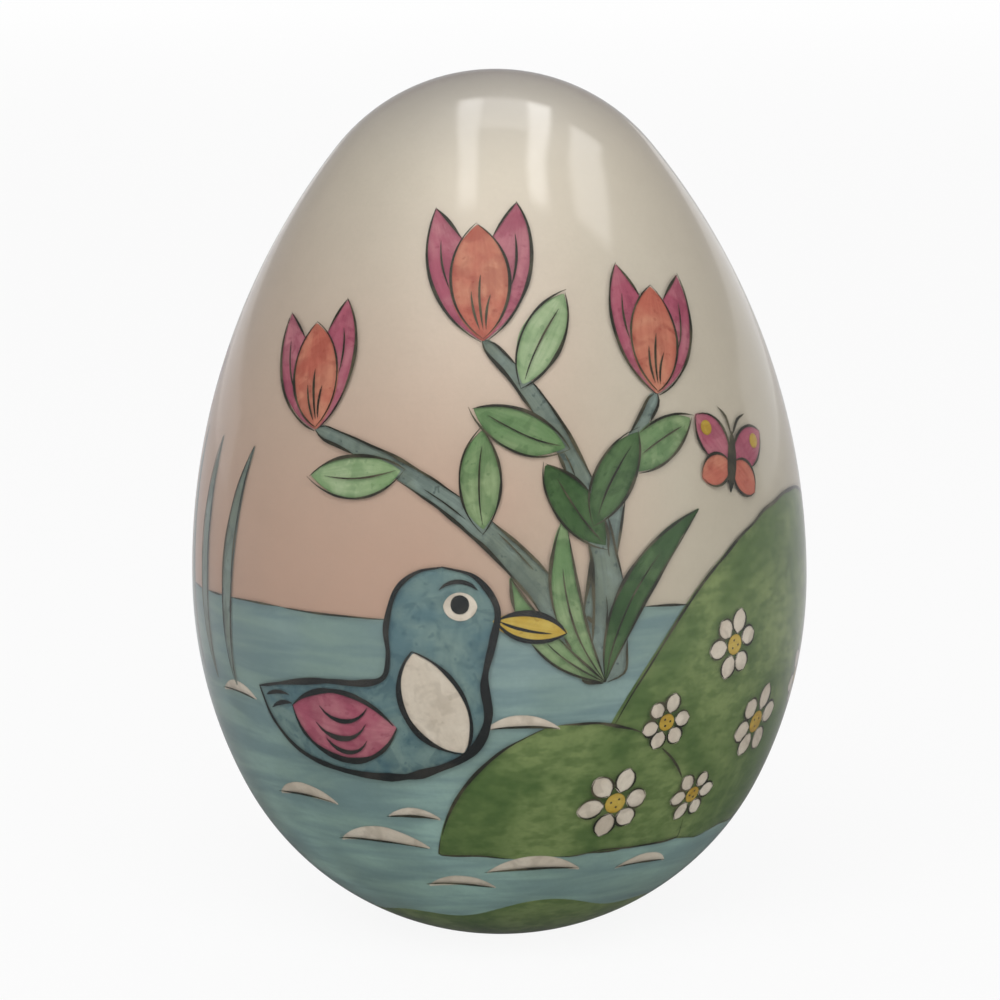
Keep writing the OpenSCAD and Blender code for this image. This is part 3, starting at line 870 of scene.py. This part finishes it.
# Name, turn in degrees, share of the height of the middle, and radius of each.
hill_places = [
    ("hill_near", 16, 0.17, 12.0),
    ("hill_right", 74, 0.265, 22.4),
    ("hill_back", 186, 0.255, 22.4),
]
for number, (name, turn, share, radius) in enumerate(hill_places):
    middle = share * egg_top
    hill, lines = bmesh.new(), bmesh.new()

    def hill_place(u, v):
        across = -radius * math.cos(math.pi * u)
        half = math.sqrt(max(radius**2 - across**2, 0))
        top = middle + half + waver(complex(across * 0.3, turn), 0.35)
        low = max(shore + waver(complex(across * 0.25, turn + 9), 0.8), middle - half)
        return complex(across, min(low, top) + max(top - low, 0) * v)

    patch(hill, 72, 30, hill_place, turn, hill_depth + hill_step * number)
    crest = [hill_place(index / 60, 1) for index in range(61)]
    base = [hill_place(index / 60, 0) for index in range(61)]
    pen(lines, crest, turn, 0.32, 0.1)
    pen(lines, base, turn, 0.2, 0.2)
    settle(name, hill, grass, "hill_green_paint", "green_hills")
    settle(f"{name}_lines", lines, thin_ink, "ink", "flower_ink")
    cover(turn, crest + base[::-1])


def band(bm, top, depth, around, up):
    """A coat that runs all the way round, from the bare rim of the hole to a wavy top edge."""
    low = bottom_z - math.sqrt((bottom - depth) ** 2 - (hole + bare_rim) ** 2)
    marks = bm.loops.layers.uv.verify()
    grid = bmesh.ops.create_grid(bm, x_segments=around, y_segments=up, size=0.5)
    for face in bm.faces:
        for loop in face.loops:
            loop[marks].uv = (loop.vert.co.x + 0.5, loop.vert.co.y + 0.5)
    for vertex in grid["verts"]:
        turn = vertex.co.x * math.tau
        z = low + (top(turn) - low) * (vertex.co.y + 0.5) ** 2
        radius = wall_radius(z, depth)
        vertex.co = (radius * math.sin(turn), -radius * math.cos(turn), z)
    bmesh.ops.remove_doubles(bm, verts=bm.verts, dist=1e-4)
    bmesh.ops.recalc_face_normals(bm, faces=bm.faces)
    middle = bm.faces[0].calc_center_median()
    if bm.faces[0].normal.dot(middle - Vector((0, 0, belly_z))) < 0:
        bmesh.ops.reverse_faces(bm, faces=bm.faces)


def bank_top(turn):
    return bank_height + 0.9 * math.sin(3 * turn + 0.6) + 0.5 * math.sin(7 * turn)


bank = bmesh.new()
band(bank, bank_top, bank_depth, 200, 14)
settle("near_bank_wash", bank, grass, "hill_green_paint", "near_bank")

# POND
# One teal wash all round the lower half, streaked from side to side by a wide brush, greener towards the
# bottom and paler there as painted light from the floor. A thin ink line follows the far shore wherever
# nothing stands in front of it.
pond_depth = 2.73
pond_top = 37.4


def water_finish():
    """Blue-grey water, cloudy and streaked, that grows greener downwards and paler, as painted light from
    below.
    """
    finish = Finish("pond_teal_paint")
    where = finish.where()
    up = finish.part(where, "Z")
    streak = finish.spread(finish.noise(finish.scaled(where, (70, 70, 520)), 1, 3, 0.6, 0.4), 0.34, 0.68)
    cloud = finish.spread(finish.noise(where, 75, 2, 0.5), 0.36, 0.66)
    grain = finish.noise(where, 2400, 2, 0.6)
    rise = finish.spread(up, 0.006, 0.038)
    # Painted light: the water is paler towards the bottom, in place of light thrown up from the floor.
    body = finish.blend(rise, srgb(156, 186, 177), srgb(130, 151, 149))
    body = finish.blend(cloud * 0.7, body, srgb(122, 144, 134))
    body = finish.blend(streak * 0.6, body, srgb(96, 120, 127))
    body = finish.blend((grain - 0.5) * 0.3 + 0.05, body, srgb(84, 108, 108))
    return finish.paint(body, grain, cloud)


def far_shore(turn):
    return pond_top + 0.5 * math.sin(2 * turn + 1.2) + 0.25 * math.sin(5 * turn)


pond = bmesh.new()
band(pond, far_shore, pond_depth, 256, 48)
settle("pond_wash", pond, water_finish(), "pond_teal_paint", "teal_pond")

lines = bmesh.new()
for turn in range(0, 360, 30):
    edge = []
    for index in range(31):
        angle = math.radians(turn - 15 + index)
        height = far_shore(angle)
        across = wall_radius(height, ink_depth) * math.sin(angle - math.radians(turn))
        edge.append(complex(across, height))
    pen(lines, edge, turn, 0.22, 0.12)
settle("far_shore_lines", lines, thin_ink, "ink", "flower_ink")

# PEARL GROUND
# The whole inside is closed with a pearly cream ground, brushed on until it covers. Towards the horizon it
# warms to peach on the left and to a greenish yellow on the right. It is paler towards the top, partly as
# painted light from above, and at the crown it greys a little as painted shade.
ground_front = 2.78
ground_rear = 3.92


def pearl_finish():
    """Pearly cream tinted from left to right, paler upwards partly as painted light, and greyed at the crown
    as painted shade.
    """
    finish = Finish("pearl_paint")
    where = finish.where()
    up = finish.part(where, "Z")
    across = finish.part(where, "X")
    rise = finish.spread(up, 0.034, 0.084)
    side = finish.spread(finish.noise(where, 38, 2, 0.5) * 0.03 + across, 0.009, 0.033)
    mottle = finish.noise(where, 320, 3, 0.6)
    grain = finish.noise(where, 3000, 2, 0.6)
    low = finish.blend(side, srgb(187, 152, 132), srgb(186, 176, 157))
    # Painted light in part: the ground is paler towards the top, its own tone and light from above together.
    body = finish.blend(rise, low, srgb(200, 190, 174))
    # Painted shade: a grey band at the crown, where less light reaches the top.
    body = finish.blend(finish.spread(up, 0.077, 0.089) * 0.6, body, srgb(150, 146, 144))
    body = finish.blend((mottle - 0.4) * 0.18, body, srgb(150, 138, 122))
    body = finish.blend((grain - 0.5) * 0.2 + 0.04, body, srgb(158, 148, 132))
    sockets = {
        "Base Color": body,
        "Roughness": 0.5,
        "Metallic": 0.15,
        "Specular IOR Level": 0.2,
        "Normal": finish.bump(mottle, 0.2, 0.0003),
    }
    return finish.coat(sockets)


def coat_shell(front, rear, steps, step):
    """A coat with a front and a back at two depths, closed round the bare rim."""
    bm = bmesh.new()
    front_edge = skin(bm, front, hole + bare_rim, step)
    rear_edge = skin(bm, rear, hole + bare_rim, step=2.5)
    bm.edges.new((front_edge, rear_edge))
    lathe(bm, steps)
    return bm


pearl = coat_shell(ground_front, ground_rear, steps=256, step=0.85)
settle("pearl_ground_coat", pearl, pearl_finish(), "pearl_paint", "pearl_ground")

# SEALING LACQUER
# A coat of milky lacquer behind it all keeps the paint from being scratched through the hole. Its brush marks
# run up and down, and it is seen only through the hole.
lacquer_front = 3.94
lacquer_rear = 4.19


def lacquer_finish():
    """Milky lacquer with upright brush marks."""
    finish = Finish("seal_lacquer")
    brush = finish.noise(finish.scaled(finish.where(), (200, 200, 60)), 1, 3, 0.6)
    sockets = {
        "Base Color": finish.blend(brush, srgb(214, 208, 196), srgb(228, 224, 214)),
        "Roughness": 0.3,
        "Normal": finish.bump(brush, 0.3, 0.0002),
    }
    return finish.coat(sockets)


lacquer = coat_shell(lacquer_front, lacquer_rear, steps=120, step=1.6)
settle("lacquer_coat", lacquer, lacquer_finish(), "seal_lacquer", "seal_coat")

# STUDIO
# A pale floor that keeps the egg's shadow and throws soft light back up, large soft lamps that the glass does
# not mirror, and long ceiling windows that it does. Where the glass mirrors the room, the room is a dim grey.


def floor_finish():
    """White to the camera, matt under the lamps, and in the glass grey with a painted shadow round the egg's
    foot.
    """
    finish = Finish("pale_floor")
    camera_ray, glossy_ray, through_ray = finish.rays("Camera", "Glossy", "Transmission")
    where = finish.where()
    away = finish.add("ShaderNodeVectorMath", {"operation": "LENGTH"}, {0: where}, "Value")
    # Painted shadow: as the glass mirrors it, the floor darkens towards the egg's foot, in place of the egg's
    # own shadow.
    foot_shadow_fade = finish.spread(away, 0.01, 0.16)
    lit = finish.add("ShaderNodeBsdfDiffuse", {}, {"Color": (0.82, 0.82, 0.82, 1)})
    dim = finish.blend(foot_shadow_fade, (0.08, 0.08, 0.08, 1), (0.62, 0.61, 0.62, 1))
    shown = finish.blend(glossy_ray, (1, 1, 1, 1), dim)
    glow = finish.add("ShaderNodeEmission", {}, {"Color": shown, "Strength": 1.0})
    share = camera_ray * 0.9 + glossy_ray * 0.95 + through_ray * 0.9
    return finish.done(finish.add("ShaderNodeMixShader", {}, {0: share, 1: lit, 2: glow}))


ground = bmesh.new()
bmesh.ops.create_circle(ground, cap_ends=True, segments=96, radius=3.0)
floor_mesh = bpy.data.meshes.new("floor")
ground.to_mesh(floor_mesh)
ground.free()
floor_mesh.materials.append(floor_finish())
floor = bpy.data.objects.new("floor", floor_mesh)
floor.location.z = -0.00005
bpy.context.collection.objects.link(floor)


def lamp(name, place, aim, wide, high, radiance, mirrored=False, spin=0.0):
    """A soft rectangular lamp at a place in metres, turned towards an aim."""
    data = bpy.data.lights.new(name, "AREA")
    data.shape = "RECTANGLE"
    data.size, data.size_y = wide, high
    data.energy = radiance * wide * high * math.pi
    light = bpy.data.objects.new(name, data)
    light.location = place
    light.rotation_euler = (Vector(aim) - Vector(place)).to_track_quat("-Z", "Y").to_euler()
    light.rotation_euler.rotate_axis("Z", spin)
    light.visible_camera = False
    light.visible_glossy = mirrored
    light.visible_diffuse = not mirrored
    bpy.context.collection.objects.link(light)


lamp("key", (-0.15, -0.95, 1.15), egg_middle, 1.5, 1.2, 3.0)
lamp("fill_right", (1.3, -0.9, 0.25), egg_middle, 1.2, 0.6, 2.2)
lamp("fill_left", (-1.4, -0.8, 0.25), egg_middle, 1.2, 0.6, 0.7)
lamp("fill_behind", (0.2, 1.6, 0.5), egg_middle, 1.8, 0.9, 1.6)
ceiling = 1.45


def window(name, near, far, wide, radiance):
    """A long window in the ceiling; its ends and width are given for a ceiling one metre up."""
    middle = ceiling * (near + far) / 2
    place = (middle.real, middle.imag, ceiling)
    under = (middle.real, middle.imag + 0.0001, 0)
    spin = math.atan2((far - near).imag, (far - near).real) - math.pi / 2
    lamp(name, place, under, ceiling * wide, ceiling * abs(far - near), radiance, True, spin)


window("window_left", -0.22 - 0.465j, -0.13 + 0.62j, 0.15, 3.2)
window("window_middle", 0.36 - 0.42j, 0.285 + 0.60j, 0.15, 4.4)
window("window_right", 0.84 - 0.29j, 0.70 + 0.48j, 0.36, 2.6)
window("window_behind", 0.09 + 0.08j, 0.09 + 0.61j, 0.46, 1.5)
lamp("pale_wall_right", (1.0, 1.3, 0.0), egg_middle, 1.5, 0.7, 0.5, True)
lamp("pale_wall_left", (-0.9, 1.4, 0.0), egg_middle, 1.4, 0.44, 0.36, True)

# The world is white to the camera. In the glass it is a room, dark above the horizon and pale overhead.
room = Finish("room", bpy.data.worlds.new("room"))
bpy.context.scene.world = room.held
room_shades = [
    (0.0, (0.46, 0.46, 0.48)),
    (0.3, (0.18, 0.165, 0.19)),
    (0.62, (0.29, 0.28, 0.29)),
    (0.9, (0.6, 0.59, 0.58)),
]
upward = room.part(room.where("Generated"), "Z")
mirrored = room.add("ShaderNodeValToRGB", {"stops": room_shades}, {"Fac": upward})
camera_ray, glossy_ray, through_ray = room.rays("Camera", "Glossy", "Transmission")
plain = room.blend(camera_ray.either(through_ray), (0.28, 0.28, 0.28, 1), (1, 1, 1, 1))
shown = room.blend(glossy_ray, plain, mirrored)
room.done(room.add("ShaderNodeBackground", {}, {"Color": shown}))

scene = bpy.context.scene
scene.view_settings.view_transform = "Standard"
scene.cycles.caustics_refractive = False
scene.cycles.caustics_reflective = False
scene.cycles.blur_glossy = 0
